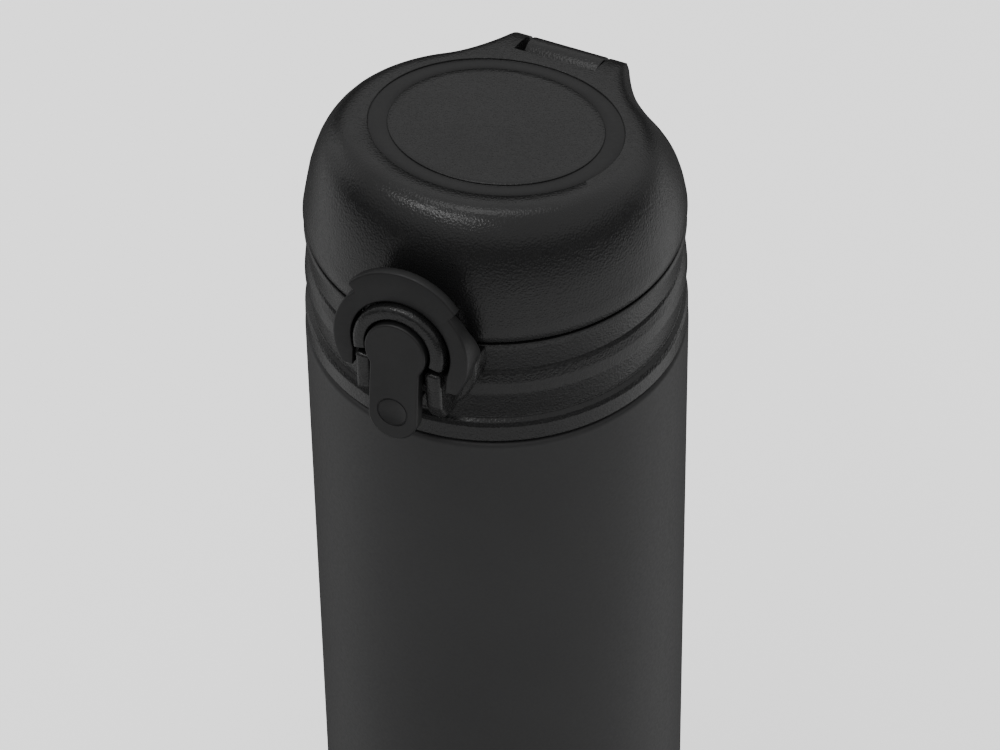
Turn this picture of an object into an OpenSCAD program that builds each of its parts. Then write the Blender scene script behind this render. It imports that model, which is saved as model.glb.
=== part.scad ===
// Flip-lid vacuum flask. A double-walled steel body carries a screw-in stopper unit,
// whose hinged lid is held by a press lever and guarded by a swinging lock ring.
// The origin is at the centre of the base, +Z up, lever towards -Y, hinge towards +Y.

/* [Body] */
// Outer radius of the steel body
body_r = 32.5; // [32.5:0.1:33]
// Height of the shoulder that the stopper unit sits on
shoulder_z = 174; // [150:1:200]
// Thickness of the outer steel wall
shell_wall = 0.6; // [0.5:0.1:0.7]
// Thickness of the inner steel wall
vessel_wall = 0.5; // [0.4:0.1:0.6]
// Width of the vacuum space between the two walls
vacuum_gap = 2; // [1.6:0.1:2.2]

/* [Neck and thread] */
// Inner radius of the drinking mouth
mouth_r = 20; // [20:0.1:20.1]
// Height of the neck above the shoulder
neck_h = 16; // [15.5:0.1:16.2]
// Rise of the thread in one turn
thread_lead = 5; // [5:0.1:5.5]

/* [Stopper unit] */
// Height of the seam between collar and lid, above the shoulder
seam_h = 21.8; // [21.6:0.1:22]
// Gap between the collar and the lid at the seam
seam_gap = 0.5; // [0.4:0.05:0.6]
// Height of the rim of the drinking spout, above the shoulder
spout_h = 29.5; // [29:0.1:29.6]

/* [Lid] */
// Thickness of the lid's wall
lid_wall = 2; // [1.8:0.1:2.2]
// Slant of the lid's flat top, lower towards the hinge
top_slant = 10.45; // [10:0.05:11]
// Height of the middle of the flat top, above the shoulder
top_h = 40.6; // [40.4:0.1:41]
// Distance of the hinge axis behind the middle
hinge_y = 28.6; // [28.4:0.1:28.8]
// Height of the hinge axis above the shoulder
hinge_h = 30.2; // [30:0.1:30.4]

/* [Lever and lock ring] */
// Lean of the lever and the ring towards the flask
front_lean = 6.9; // [6.7:0.1:7.1]
// Inner radius of the lock ring
ring_in_r = 8.8; // [8.8:0.05:9]
// Outer radius of the lock ring
ring_out_r = 12; // [11.8:0.1:12.2]
// Outer radius of the lock ring's thumb tab
tab_r = 14.6; // [14:0.1:15]
// Radius of the lever's round head
head_r = 5.4; // [5.3:0.05:5.45]
// Half the width of the lever's stem
stem_r = 4.35; // [4.2:0.05:4.4]

/* [Hidden] */
$fn = 96;
eps = 0.01;
through = 60;

// Body
base_edge_r = 3.5;
base_lift = 1.2;
shoulder_r = 1.2;
shoulder_gap = 0.3;
vessel_r = body_r - shell_wall - vacuum_gap;
vessel_floor = 6;
vessel_edge_r = 8;
neck_r = mouth_r + 2;
lip_h = 0.8;
seal_r = 3;

// Thread
thread_step = 10;
bore_r = neck_r + 2;
male_crest_r = neck_r + 1.5;
male_start_h = 3;
male_turns = 1.75;
female_crest_r = neck_r + 0.5;
female_start_h = 5.5;
female_turns = 1.5;
thread_base_w = 2.2;
thread_crest_w = 1;
thread_root = 0.3;

// Stopper unit
collar_r = body_r - 0.1;
bowl_r = 29.8;
deck_h = 16.6;
deck_t = 1.8;
hollow_in_r = bore_r + 2;
hollow_out_r = 30;
core_r = 18.2;
core_bore_r = 16.2;
core_bottom_h = -3;
gasket_h = 4;
gasket_t = 4.2;
spout_tube_r = 15.5;
spout_bore_r = 13.9;
spout_flange_r = 17.5;
spout_offset = -3;
spout_foot_r = 14.5;
spout_rim_r = 11.5;
spout_wall = 1.7;
vent_r = 1.3;
vent_wall = 0.8;
vent_y = 13.2;
barrel_w = 14.2;
knuckle_r = 4.2;
hinge_pin_r = 1.25;
running_gap = 0.05;
spring_pocket_r = 3.2;
spring_pocket_w = 6.4;

// Front housing and lever pivot
housing_r = 12.4;
housing_h = 19.6;
housing_y = 33.9;
prong_in = 4.75;
prong_out = 7.6;
lever_axis_y = 36.3;
lever_axis_h = 15.5;
lever_pin_r = 0.75;
ring_axis_y = 36;
ring_axis_h = 18.8;
stud_r = 1;

// Planes of the leaning front parts, as their distance from the axis at the shoulder
lever_front = 42.3;
lever_t = 2.4;
ring_front = 40.2;
ring_t = 2;
boss_front = 41.5;

// Lid
lid_r = 32;
recess_shift = 0.96;
liner_shift = -1;
shoulder_ring_r = 23.5;
shoulder_tube_r = 5;
side_ring_r = 30.4;
side_ring_drop = 9.5;
recess_out_r = 21.2;
recess_in_r = 17.9;
recess_d = 0.35;
ear_half_w = 11;
notch_half_w = 7.4;
notch_r = 4.7;
notch_wall = 1.5;
notch_lip_y = 24.4;
boss_in_r = 5.8;
boss_out_r = 8.1;
boss_h = 24.2;
boss_depth = 9;
boss_round = 1.8;
liner_r = 23;
liner_post_r = 21.4;
relief_w = 26;
relief_h = 1.4;
window_half_w = 3.1;
window_foot_h = 23.9;
window_h = 3.5;
liner_h = spout_h + 2.4;
seal_disc_r = 13.4;

// Outlines of the front parts, in their own leaning planes
ring_h = 23.66;
ring_foot = 6.5;
tab_angle = 44;
tab_shift = 2.7;
head_h = 24.3;
stem_h = 11.2;
dimple_h = 12.2;
dimple_r = 2.6;
dimple_ball_r = 9.75;

steel = "#2c2c2e";
bright_steel = "#b9bcc0";
moulded = "#232324";
inner_plastic = "#3a3a3c";
rubber = "#6d6f72";

// ---------- shared shapes ----------

// Children are drawn with their own +Y up and +Z outwards, on a plane that leans
// back by front_lean and stands plane_y in front of the axis at shoulder height.
module front_plane(plane_y) {
    translate([0, -plane_y, shoulder_z]) rotate([90 - front_lean, 0, 0]) children();
}

// An outline in (y, height above the shoulder), made a slab from x0 to x1.
module side_slab(x0, x1) {
    translate([x0, 0, shoulder_z]) rotate([90, 0, 90]) linear_extrude(x1 - x0) children();
}

// A round bar along X, centred on x = 0.
module bar_x(r, w, y, h) {
    translate([-w / 2, y, shoulder_z + h]) rotate([0, 90, 0]) cylinder(r = r, h = w);
}

// Children are placed on the slanted top, +Z out of it, at its middle.
module on_top(drop) {
    translate([0, 0, shoulder_z + top_h]) rotate([-top_slant, 0, 0])
        translate([0, 0, -drop]) children();
}

// A round wall between two radii and two heights above the shoulder.
module ring_wall(r0, r1, h0, h1) {
    translate([0, 0, shoulder_z + h0]) difference() {
        cylinder(r = r1, h = h1 - h0);
        translate([0, 0, -1]) cylinder(r = r0, h = h1 - h0 + 2);
    }
}

function polar(r, a, z) = [r * cos(a), r * sin(a), z];

// How much of the full depth a thread has at step i of n, run in and out at its ends.
function thread_fade(i, n) = max(0.05, min(1, i / 3, (n - i) / 3));

// The corners of a thread's section at step i, from its root to its crest.
function thread_section(root, crest, lead, i, n) =
    let (a = i * thread_step, z = lead * a / 360, r = root + (crest - root) * thread_fade(i, n))
    [
        polar(root, a, z - thread_base_w / 2), polar(r, a, z - thread_crest_w / 2),
        polar(r, a, z + thread_crest_w / 2), polar(root, a, z + thread_base_w / 2)
    ];

// Triangles of a band of quads around sections i and i + 1, wound outwards or inwards.
function band(i, flip) = [
    for (k = [0:3])
        let (p = 4 * i + k, q = 4 * i + (k + 1) % 4)
        each flip ? [[p, p + 4, q], [q, p + 4, q + 4]] : [[p, q, p + 4], [q, q + 4, p + 4]]
];

// A helical ridge from the root radius to the crest radius.
module thread_ridge(root, crest, lead, turns) {
    n = round(turns * 360 / thread_step);
    inward = crest < root;
    points = [for (i = [0:n]) each thread_section(root, crest, lead, i, n)];
    ends = inward ? [[0, 1, 2], [0, 2, 3], [4 * n + 2, 4 * n + 1, 4 * n], [4 * n + 3, 4 * n + 2, 4 * n]]
        : [[2, 1, 0], [3, 2, 0], [4 * n, 4 * n + 1, 4 * n + 2], [4 * n, 4 * n + 2, 4 * n + 3]];
    polyhedron(points, concat(ends, [for (i = [0:n - 1]) each band(i, inward)]));
}

// A round wire swept along a helix, as a coil of the given number of turns.
module coil(mean_r, wire_r, length, turns) {
    per_turn = 16;
    sides = 8;
    n = turns * per_turn;
    points = [
        for (i = [0:n]) for (k = [0:sides - 1])
            let (a = 360 * i / per_turn, b = 360 * k / sides)
            polar(mean_r + wire_r * cos(b), a, wire_r + (length - 2 * wire_r) * i / n + wire_r * sin(b))
    ];
    walls = [
        for (i = [0:n - 1]) for (k = [0:sides - 1])
            let (p = sides * i + k, q = sides * i + (k + 1) % sides)
            each [[p, q, p + sides], [q, q + sides, p + sides]]
    ];
    ends = [[for (k = [sides - 1:-1:0]) k], [for (k = [0:sides - 1]) n * sides + k]];
    polyhedron(points, concat(walls, ends));
}

// ---------- flask body ----------

module shell_outline(r, inset) {
    difference() {
        union() {
            translate([0, inset]) square([r - base_edge_r, shoulder_z - shoulder_gap - 2 * inset]);
            translate([0, base_edge_r + inset])
                square([r, shoulder_z - shoulder_gap - base_edge_r - shoulder_r - 2 * inset]);
            translate([r - base_edge_r, base_edge_r + inset]) circle(base_edge_r, $fn = 64);
            translate([0, shoulder_z - shoulder_gap - shoulder_r - inset - 1])
                square([r - shoulder_r, shoulder_r + 1]);
            translate([r - shoulder_r, shoulder_z - shoulder_gap - shoulder_r - inset])
                circle(shoulder_r, $fn = 64);
        }
        translate([-2 * body_r, -body_r]) square([2 * body_r, 2 * shoulder_z]);
    }
}

module outer_shell() {
    color(steel) difference() {
        union() {
            rotate_extrude() shell_outline(body_r, 0);
            translate([0, 0, shoulder_z - 1]) cylinder(r = neck_r, h = neck_h - lip_h + 1);
            translate([0, 0, shoulder_z + male_start_h])
                thread_ridge(neck_r - thread_root, male_crest_r, thread_lead, male_turns);
        }
        rotate_extrude() shell_outline(body_r - shell_wall, shell_wall);
        translate([0, 0, -1]) cylinder(r = body_r - base_edge_r, h = 4);
        translate([0, 0, shoulder_z - 3]) cylinder(r = neck_r - shell_wall, h = neck_h + 4);
    }
}

module outer_base() {
    rim_r = body_r - base_edge_r;
    color(steel) rotate_extrude() {
        translate([seal_r, base_lift]) square([rim_r - 2 - seal_r, shell_wall]);
        translate([rim_r - 2.6, 0]) square([2.6, base_lift + shell_wall]);
    }
}

module base_pad() {
    pad_r = body_r - base_edge_r - 2.8;
    color(rubber) difference() {
        cylinder(r = pad_r, h = base_lift);
        for (r = [8:6:pad_r - 2]) translate([0, 0, -eps]) difference() {
            cylinder(r = r + 0.5, h = 0.3);
            translate([0, 0, -1]) cylinder(r = r, h = 2);
        }
    }
}

module vacuum_seal() {
    color(bright_steel) translate([0, 0, base_lift]) {
        cylinder(r = seal_r, h = shell_wall);
        translate([0, 0, shell_wall]) cylinder(r = seal_r + 1, h = 0.6);
    }
}

module vessel_outline(r, inset) {
    top = shoulder_z - vacuum_gap - 1 - inset;
    difference() {
        union() {
            translate([0, vessel_floor + inset]) square([r - vessel_edge_r, 20]);
            translate([0, vessel_floor + inset + vessel_edge_r])
                square([r, top - vessel_floor - inset - 2 * vessel_edge_r]);
            translate([r - vessel_edge_r, vessel_floor + inset + vessel_edge_r])
                circle(vessel_edge_r, $fn = 64);
            translate([0, top - vessel_edge_r - 1]) square([r - vessel_edge_r, vessel_edge_r + 1]);
            translate([r - vessel_edge_r, top - vessel_edge_r]) circle(vessel_edge_r, $fn = 64);
        }
        translate([-2 * body_r, -body_r]) square([2 * body_r, 2 * shoulder_z]);
    }
}

module inner_vessel() {
    lip_z = shoulder_z + neck_h - lip_h;
    color(bright_steel) difference() {
        union() {
            rotate_extrude() vessel_outline(vessel_r, 0);
            translate([0, 0, shoulder_z - 6]) cylinder(r = mouth_r + vessel_wall, h = neck_h + 6 - eps);
            translate([0, 0, lip_z]) rotate_extrude() {
                translate([mouth_r, 0]) square([neck_r - mouth_r - lip_h / 2, lip_h]);
                translate([mouth_r, 0]) square([neck_r - mouth_r, lip_h / 2]);
                translate([neck_r - lip_h / 2, lip_h / 2]) circle(lip_h / 2, $fn = 32);
            }
        }
        rotate_extrude() vessel_outline(vessel_r - vessel_wall, vessel_wall);
        translate([0, 0, shoulder_z - 10]) cylinder(r = mouth_r, h = neck_h + 12);
    }
}

module reflective_foil() {
    foil_r = vessel_r + 0.2;
    foil_start = vessel_floor + vessel_edge_r;
    foil_end = shoulder_z - vessel_edge_r - 6;
    color("#b87a4b") translate([0, 0, foil_start]) difference() {
        cylinder(r = foil_r, h = foil_end - foil_start);
        translate([0, 0, -1]) cylinder(r = foil_r - 0.15, h = foil_end);
    }
}

module getter() {
    color(bright_steel) translate([12, 0, base_lift + shell_wall]) difference() {
        cylinder(r = 4, h = 2.2);
        translate([0, 0, 0.8]) cylinder(r = 3.2, h = 2);
    }
}

// ---------- stopper unit ----------

// Outer outline of the collar: a lower band, a gently bulged grip and an upper band.
collar_side = [
    [collar_r - 0.5, 0], [collar_r, 0.5], [collar_r, 3.5], [collar_r - 0.5, 4.1],
    [collar_r - 0.9, 4.6], [collar_r - 0.55, 7.5], [collar_r - 0.3, 10.5], [collar_r - 0.3, 13],
    [collar_r - 0.6, 14.6], [collar_r - 1.3, 15.6], [collar_r - 0.85, 15.9],
    [collar_r - 0.45, 21.3], [collar_r - 0.8, seam_h]
];

module collar_body() {
    translate([0, 0, shoulder_z]) rotate_extrude()
        polygon(concat([[0, 0]], collar_side, [[0, seam_h]]));
}

// Flat round pad behind the lever, with two prongs that carry its pin.
module front_housing() {
    intersection() {
        translate([0, -26, shoulder_z + housing_h]) rotate([90, 0, 0])
            cylinder(r = housing_r, h = housing_y - 26);
        translate([-through / 2, -through, shoulder_z + 7.2])
            cube([through, through, seam_h - 0.2 - 7.2]);
    }
    for (side = [-1, 1])
        side_slab(side > 0 ? prong_in : -prong_out, side > 0 ? prong_out : -prong_in)
            polygon([
                [-30, 20.9], [-38.3, 20.9], [-38.7, 20.4], [-38.6, 14], [-37.2, 10.5],
                [-34, 8.6], [-30, 8.6]
            ]);
}

// Post and barrel at the back, which the lid's ears turn about.
module hinge_post() {
    bar_x(knuckle_r, barrel_w, hinge_y, hinge_h);
    intersection() {
        side_slab(-barrel_w / 2, barrel_w / 2)
            polygon([
                [hinge_y - 3.4, 17], [hinge_y - 3.4, hinge_h - 1], [hinge_y - knuckle_r, hinge_h],
                [hinge_y + knuckle_r, hinge_h], [hinge_y + 2.8, seam_h], [hinge_y + 2.8, 17]
            ]);
        translate([0, 0, shoulder_z]) cylinder(r = body_r + 0.6, h = hinge_h);
    }
}

module collar() {
    color(moulded) difference() {
        union() {
            difference() {
                union() {
                    collar_body();
                    front_housing();
                }
                translate([0, 0, shoulder_z + deck_h + deck_t]) cylinder(r = bowl_r, h = through);
            }
            hinge_post();
        }
        translate([0, 0, shoulder_z - 1]) cylinder(r = bore_r, h = deck_h + 1);
        translate([0, 0, shoulder_z]) cylinder(r = spout_tube_r + 0.3, h = through);
        translate([0, 0, -1]) ring_wall(hollow_in_r, hollow_out_r, 0, 15);
        bar_x(hinge_pin_r, through, hinge_y, hinge_h);
        bar_x(spring_pocket_r, spring_pocket_w, hinge_y, hinge_h);
        bar_x(lever_pin_r, 2 * prong_out + 2, -lever_axis_y, lever_axis_h);
        for (side = [-1, 1])
            translate([side * (prong_out - 0.6), -ring_axis_y, shoulder_z + ring_axis_h])
                rotate([0, 90, 0]) cylinder(r = stud_r + running_gap, h = 1.4, center = true);
        translate([0, -housing_y - 1, shoulder_z + 10]) rotate([-90, 0, 0]) cylinder(r = 2.2, h = 2.6);
    }
    color(moulded) translate([0, 0, shoulder_z + female_start_h])
        thread_ridge(bore_r + thread_root, female_crest_r, thread_lead, female_turns);
}

module stopper_core() {
    color(inner_plastic) difference() {
        union() {
            translate([0, 0, shoulder_z + core_bottom_h]) cylinder(r = core_r, h = deck_h - core_bottom_h);
            translate([0, 0, shoulder_z + deck_h - 2]) cylinder(r = mouth_r - 0.4, h = 2);
            for (h = [gasket_h - 1.2, gasket_h + gasket_t])
                translate([0, 0, shoulder_z + h]) cylinder(r = mouth_r - 0.8, h = 1.2);
        }
        translate([0, 0, shoulder_z + core_bottom_h - 1]) cylinder(r = core_bore_r, h = through);
    }
}

module mouth_gasket() {
    color(rubber) translate([0, 0, shoulder_z + gasket_h]) rotate_extrude()
        difference() {
            union() {
                translate([core_r + 0.05, 0.3]) square([0.9, gasket_t - 0.6]);
                for (h = [1.1, gasket_t - 1.1])
                    translate([mouth_r - running_gap - 0.8, h]) circle(0.8, $fn = 32);
            }
            square([core_r + 0.05, gasket_t]);
        }
}

module spout() {
    foot_h = deck_h + deck_t;
    color(inner_plastic) difference() {
        union() {
            translate([0, 0, shoulder_z + foot_h]) cylinder(r = spout_flange_r, h = 1.5);
            translate([0, 0, shoulder_z + 7]) cylinder(r = spout_tube_r, h = foot_h - 7 + eps);
            translate([0, spout_offset, shoulder_z + foot_h + 1])
                cylinder(r1 = spout_foot_r, r2 = spout_rim_r + 0.1, h = spout_h - foot_h - 1.6);
            translate([0, vent_y, shoulder_z + 3]) cylinder(r = vent_r + vent_wall, h = foot_h - 3);
            translate([0, spout_offset, shoulder_z + spout_h - 0.6]) rotate_extrude() {
                translate([spout_rim_r - 0.5, 0.1]) circle(0.5, $fn = 32);
                translate([spout_rim_r - spout_wall, -0.4]) square([spout_wall - 0.5, 1]);
            }
        }
        difference() {
            translate([0, 0, shoulder_z]) cylinder(r = spout_bore_r, h = foot_h);
            translate([0, vent_y, shoulder_z]) cylinder(r = vent_r + vent_wall, h = foot_h);
        }
        // Air hole that lets air back in while drinking.
        translate([0, vent_y, shoulder_z + 2]) cylinder(r = vent_r, h = foot_h);
        translate([0, spout_offset, shoulder_z + foot_h - 0.5])
            cylinder(r1 = spout_foot_r - spout_wall, r2 = spout_rim_r - spout_wall, h = spout_h - foot_h + 1);
        difference() {
            translate([0, 0, shoulder_z + 11]) cylinder(r = spout_tube_r + 1, h = 1.6);
            cylinder(r = spout_tube_r - 0.5, h = through + shoulder_z);
        }
    }
}

module spout_gasket() {
    color(rubber) ring_wall(spout_tube_r - 0.5, core_bore_r, 11.1, 12.5);
}

module hinge_pin() {
    color(bright_steel) bar_x(hinge_pin_r, 2 * ear_half_w - 0.8, hinge_y, hinge_h);
}

module hinge_spring() {
    turns = 6;
    color(bright_steel) translate([-spring_pocket_w / 2 + 0.2, hinge_y, shoulder_z + hinge_h])
        rotate([0, 90, 0]) coil(2.3, 0.38, spring_pocket_w - 0.4, turns);
}

module lever_pin() {
    color(bright_steel) bar_x(lever_pin_r, 2 * prong_out - 0.2, -lever_axis_y, lever_axis_h);
}

module lever_spring() {
    turns = 4;
    color(bright_steel) translate([0, -housing_y + 1.5, shoulder_z + 10]) rotate([90, 0, 0])
        coil(1.6, 0.25, 6, turns);
}

// ---------- lid ----------

// The lid's dome: an upright side that flows into the rounded edge of the slanted top.
module dome(side_r, side_top, rim_r, rim_drop, edge_r, tube_r, top_drop, bottom_h) {
    hull() {
        translate([0, 0, shoulder_z + bottom_h]) cylinder(r = side_r, h = side_top - bottom_h);
        on_top(rim_drop) cylinder(r = rim_r, h = 0.1);
        on_top(top_drop + tube_r) rotate_extrude() translate([edge_r, 0]) circle(tube_r, $fn = 32);
    }
}

module dome_outside() {
    dome(lid_r, 26, side_ring_r, side_ring_drop, shoulder_ring_r, shoulder_tube_r, 0,
        seam_h + seam_gap);
}

module dome_inside() {
    dome(lid_r - lid_wall, 25.4, side_ring_r - lid_wall, side_ring_drop + 0.6,
        shoulder_ring_r - 1, shoulder_tube_r - 1, lid_wall, seam_h - 2);
}

// Raised block at the back, flush with the slanted top, that ends in the two ears.
module ear_block() {
    side_slab(-ear_half_w, ear_half_w) {
        translate([hinge_y, hinge_h]) circle(knuckle_r, $fn = 64);
        polygon([
            [14, hinge_h - 4], [14, 37.9], [24.4, 36], [27.8, 35.3], [29.8, 34.6],
            [hinge_y + 3, hinge_h + 2.9], [hinge_y, hinge_h - knuckle_r]
        ]);
    }
}

module ear_notch() {
    bar_x(notch_r, 2 * notch_half_w, hinge_y, hinge_h);
    translate([-notch_half_w, hinge_y - 4.2, shoulder_z + seam_h - 1])
        cube([2 * notch_half_w, 12, hinge_h - seam_h + 1]);
    translate([-notch_half_w, notch_lip_y, shoulder_z + hinge_h])
        cube([2 * notch_half_w, 16, through]);
}

// Wall that closes the lid in front of the barrel.
module notch_shield() {
    wall_half_w = notch_half_w + 0.5;
    difference() {
        union() {
            intersection() {
                bar_x(notch_r + notch_wall, 2 * wall_half_w, hinge_y, hinge_h);
                side_slab(-wall_half_w, wall_half_w)
                    polygon([
                        [20, hinge_h - 1], [20, 36], [notch_lip_y, 35.9], [hinge_y, hinge_h],
                        [hinge_y - 4, hinge_h - 1]
                    ]);
            }
            side_slab(-wall_half_w, wall_half_w)
                polygon([
                    [notch_lip_y - notch_wall, hinge_h], [notch_lip_y - notch_wall, 36.2],
                    [notch_lip_y, 35.9], [notch_lip_y, hinge_h]
                ]);
        }
        ear_notch();
        bar_x(hinge_pin_r + running_gap, through, hinge_y, hinge_h);
    }
}

// Round rib on the front of the lid, which the lock ring closes around.
module front_boss() {
    intersection() {
        front_plane(boss_front) translate([0, boss_h, -boss_depth]) difference() {
            union() {
                cylinder(r = boss_out_r, h = boss_depth - boss_round);
                translate([0, 0, boss_depth - boss_round])
                    cylinder(r1 = boss_out_r, r2 = boss_out_r - 1, h = boss_round);
            }
            translate([0, 0, -1]) cylinder(r = boss_in_r, h = boss_depth + 2);
        }
        translate([-through / 2, -through, shoulder_z + seam_h + seam_gap])
            cube([through, through, through]);
    }
}

module lid_cover() {
    color(moulded) {
        difference() {
            union() {
                dome_outside();
                ear_block();
                front_boss();
            }
            dome_inside();
            ear_notch();
            on_top(recess_d) translate([0, recess_shift, 0]) difference() {
                cylinder(r = recess_out_r, h = 5);
                translate([0, 0, -1]) cylinder(r = recess_in_r, h = 8);
            }
            bar_x(hinge_pin_r + running_gap, through, hinge_y, hinge_h);
            translate([-relief_w / 2, hinge_y - 5, shoulder_z + seam_h]) cube([relief_w, 12, relief_h]);
            translate([-window_half_w, -34, shoulder_z + window_foot_h])
                cube([2 * window_half_w, 8, window_h]);
        }
        notch_shield();
    }
}

module lid_liner() {
    color(inner_plastic) difference() {
        translate([0, liner_shift, 0]) {
            translate([0, 0, shoulder_z + liner_h]) cylinder(r = liner_r, h = 1.2);
            ring_wall(liner_post_r - 1.6, liner_post_r, liner_h + 1, liner_h + 16);
        }
        on_top(lid_wall) translate([0, 0, 25]) cube([3 * liner_r, 3 * liner_r, 50], center = true);
    }
}

module lid_seal() {
    color(rubber) translate([0, spout_offset, shoulder_z + spout_h + 0.1]) {
        cylinder(r = seal_disc_r, h = liner_h - spout_h - 0.1);
        translate([0, 0, -1.2]) cylinder(r = spout_rim_r - spout_wall - 0.6, h = 1.3);
    }
}

module seal_holder() {
    color(inner_plastic) translate([0, spout_offset, 0]) {
        ring_wall(seal_disc_r, seal_disc_r + 1.8, spout_h - 0.9, liner_h);
        ring_wall(seal_disc_r - 0.5, seal_disc_r + 1, spout_h - 0.9, spout_h + 0.1);
    }
}

// ---------- lock ring and lever ----------

// The sides of the ring run back to its pivots, less deep towards the thumb tab.
module ring_side_limit() {
    side_slab(-through / 2, through / 2)
        polygon([
            [-46, 16.8], [-35.5, 16.8], [-34.5, 17.6], [-34.2, 20.6], [-34.1, 22],
            [-31.9, 23], [-31.9, 23.6],
            [-33.8, 28.8], [-34.4, 33.4], [-34.4, 42], [-46, 42]
        ]);
}

module lock_ring() {
    color(moulded) {
        difference() {
            intersection() {
                front_plane(ring_front) translate([0, ring_h, -11]) difference() {
                    union() {
                        cylinder(r = ring_out_r, h = 11);
                        translate([0, 0, 11 - ring_t]) linear_extrude(ring_t) tab_outline();
                    }
                    translate([0, 0, -1]) cylinder(r = ring_in_r, h = 13);
                    translate([-prong_out - 0.7, -through, -1]) cube([2 * prong_out + 1.4, through, 13]);
                    translate([-through / 2, -ring_foot - through, -1]) cube([through, through, 13]);
                }
                ring_side_limit();
            }
            for (side = [-1, 1])
                translate([side * (ring_out_r - 0.4), -ring_axis_y, shoulder_z + ring_axis_h])
                    rotate([0, side * 90, 0]) cylinder(r = 0.7, h = 2, center = true);
        }
        for (side = [-1, 1])
            translate([side * (prong_out + 0.5), -ring_axis_y, shoulder_z + ring_axis_h])
                rotate([0, 90, 0]) cylinder(r = stud_r, h = 2.6, center = true);
    }
}

module tab_outline() {
    far = 2 * tab_r;
    intersection() {
        translate([0, tab_shift]) circle(tab_r - tab_shift);
        polygon([[0, 0], [-far * sin(tab_angle), far * cos(tab_angle)], [0, 2 * far],
            [far * sin(tab_angle), far * cos(tab_angle)]]);
    }
}

module lever_outline() {
    translate([0, head_h]) circle(head_r);
    translate([0, stem_h]) circle(stem_r);
    translate([-stem_r, stem_h]) square([2 * stem_r, head_h - stem_h - 2]);
}

module open_lever() {
    color(moulded) difference() {
        union() {
            front_plane(lever_front) translate([0, 0, -lever_t]) linear_extrude(lever_t) lever_outline();
            bar_x(2, 7.4, -lever_axis_y, lever_axis_h);
            side_slab(-3.7, 3.7)
                polygon([
                    [-38.6, 19], [-lever_axis_y, lever_axis_h + 2], [-lever_axis_y, lever_axis_h - 2],
                    [-39, 12.5], [-40.5, 12.5], [-40, 19]
                ]);
            side_slab(-2.5, 2.5)
                polygon([
                    [-38.5, 24.4], [-30.9, 24.4], [-30.9, 25.2], [-32, 26.2], [-38.5, 28]
                ]);
        }
        bar_x(lever_pin_r + running_gap, 10, -lever_axis_y, lever_axis_h);
        front_plane(lever_front) translate([0, dimple_h, sqrt(dimple_ball_r ^ 2 - dimple_r ^ 2)])
            sphere(r = dimple_ball_r);
    }
}

outer_shell();
outer_base();
base_pad();
vacuum_seal();
inner_vessel();
reflective_foil();
getter();
mouth_gasket();
collar();
stopper_core();
spout();
spout_gasket();
hinge_pin();
hinge_spring();
lever_pin();
lever_spring();
lid_cover();
lid_liner();
lid_seal();
seal_holder();
lock_ring();
open_lever();
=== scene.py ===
import math
import bmesh
import bpy
from mathutils import Matrix, Vector


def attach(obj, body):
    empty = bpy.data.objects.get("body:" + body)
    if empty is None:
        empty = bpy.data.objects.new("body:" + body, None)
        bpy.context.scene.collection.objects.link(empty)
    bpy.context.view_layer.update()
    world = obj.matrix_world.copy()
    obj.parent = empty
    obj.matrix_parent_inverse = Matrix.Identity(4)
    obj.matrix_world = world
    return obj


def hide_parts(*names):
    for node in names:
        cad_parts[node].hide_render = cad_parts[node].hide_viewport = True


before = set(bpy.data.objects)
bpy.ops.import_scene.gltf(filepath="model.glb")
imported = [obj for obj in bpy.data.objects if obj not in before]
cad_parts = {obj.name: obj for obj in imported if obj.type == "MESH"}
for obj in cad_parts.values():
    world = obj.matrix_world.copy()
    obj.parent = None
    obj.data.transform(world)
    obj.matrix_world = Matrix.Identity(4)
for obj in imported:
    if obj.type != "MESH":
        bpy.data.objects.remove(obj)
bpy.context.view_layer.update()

mm = 0.001
shoulder = 0.174  # height of the steel shoulder, which the stopper unit sits on
origin = Vector((0, 0, shoulder))


# Small tools: everything below is drawn in millimetres, with heights counted from the shoulder.

def place(x, y, h):
    return Vector((x * mm, y * mm, shoulder + h * mm))


def arc(cx, cy, r, start, end, steps=8):
    turn = [math.radians(start + (end - start) * i / steps) for i in range(steps + 1)]
    return [(cx + r * math.cos(a), cy + r * math.sin(a)) for a in turn]


def roundOff(corners, steps=5):
    # corners are (x, y) or (x, y, radius); a radius puts an arc in place of the corner
    points = []
    for i, corner in enumerate(corners):
        here = Vector(corner[:2])
        radius = corner[2] if len(corner) > 2 else 0
        before, after = Vector(corners[i - 1][:2]), Vector(corners[(i + 1) % len(corners)][:2])
        inDir, outDir = (before - here), (after - here)
        if radius == 0 or inDir.length == 0 or outDir.length == 0:
            points.append(tuple(here))
            continue
        half = inDir.angle(outDir) / 2
        reach = min(radius / math.tan(half), 0.49 * inDir.length, 0.49 * outDir.length)
        start, end = here + inDir.normalized() * reach, here + outDir.normalized() * reach
        for k in range(steps + 1):
            t = k / steps  # a quadratic curve that leaves and meets both sides smoothly
            points.append(tuple(start * (1 - t) ** 2 + here * 2 * t * (1 - t) + end * t ** 2))
    return points


def meshPiece(name, points, faces, material, smooth=40):
    mesh = bpy.data.meshes.new(name)
    mesh.from_pydata([tuple(p) for p in points], [], faces)
    tidy = bmesh.new()
    tidy.from_mesh(mesh)
    bmesh.ops.remove_doubles(tidy, verts=tidy.verts, dist=1e-7)
    bmesh.ops.recalc_face_normals(tidy, faces=tidy.faces)
    tidy.to_mesh(mesh)
    tidy.free()
    piece = bpy.data.objects.new(name, mesh)
    bpy.context.collection.objects.link(piece)
    piece.data.materials.append(material)
    shade(piece, smooth)
    return piece


def shade(piece, angle=40):
    for face in piece.data.polygons:
        face.use_smooth = True
    piece.data.set_sharp_from_angle(angle=math.radians(angle))


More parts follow.
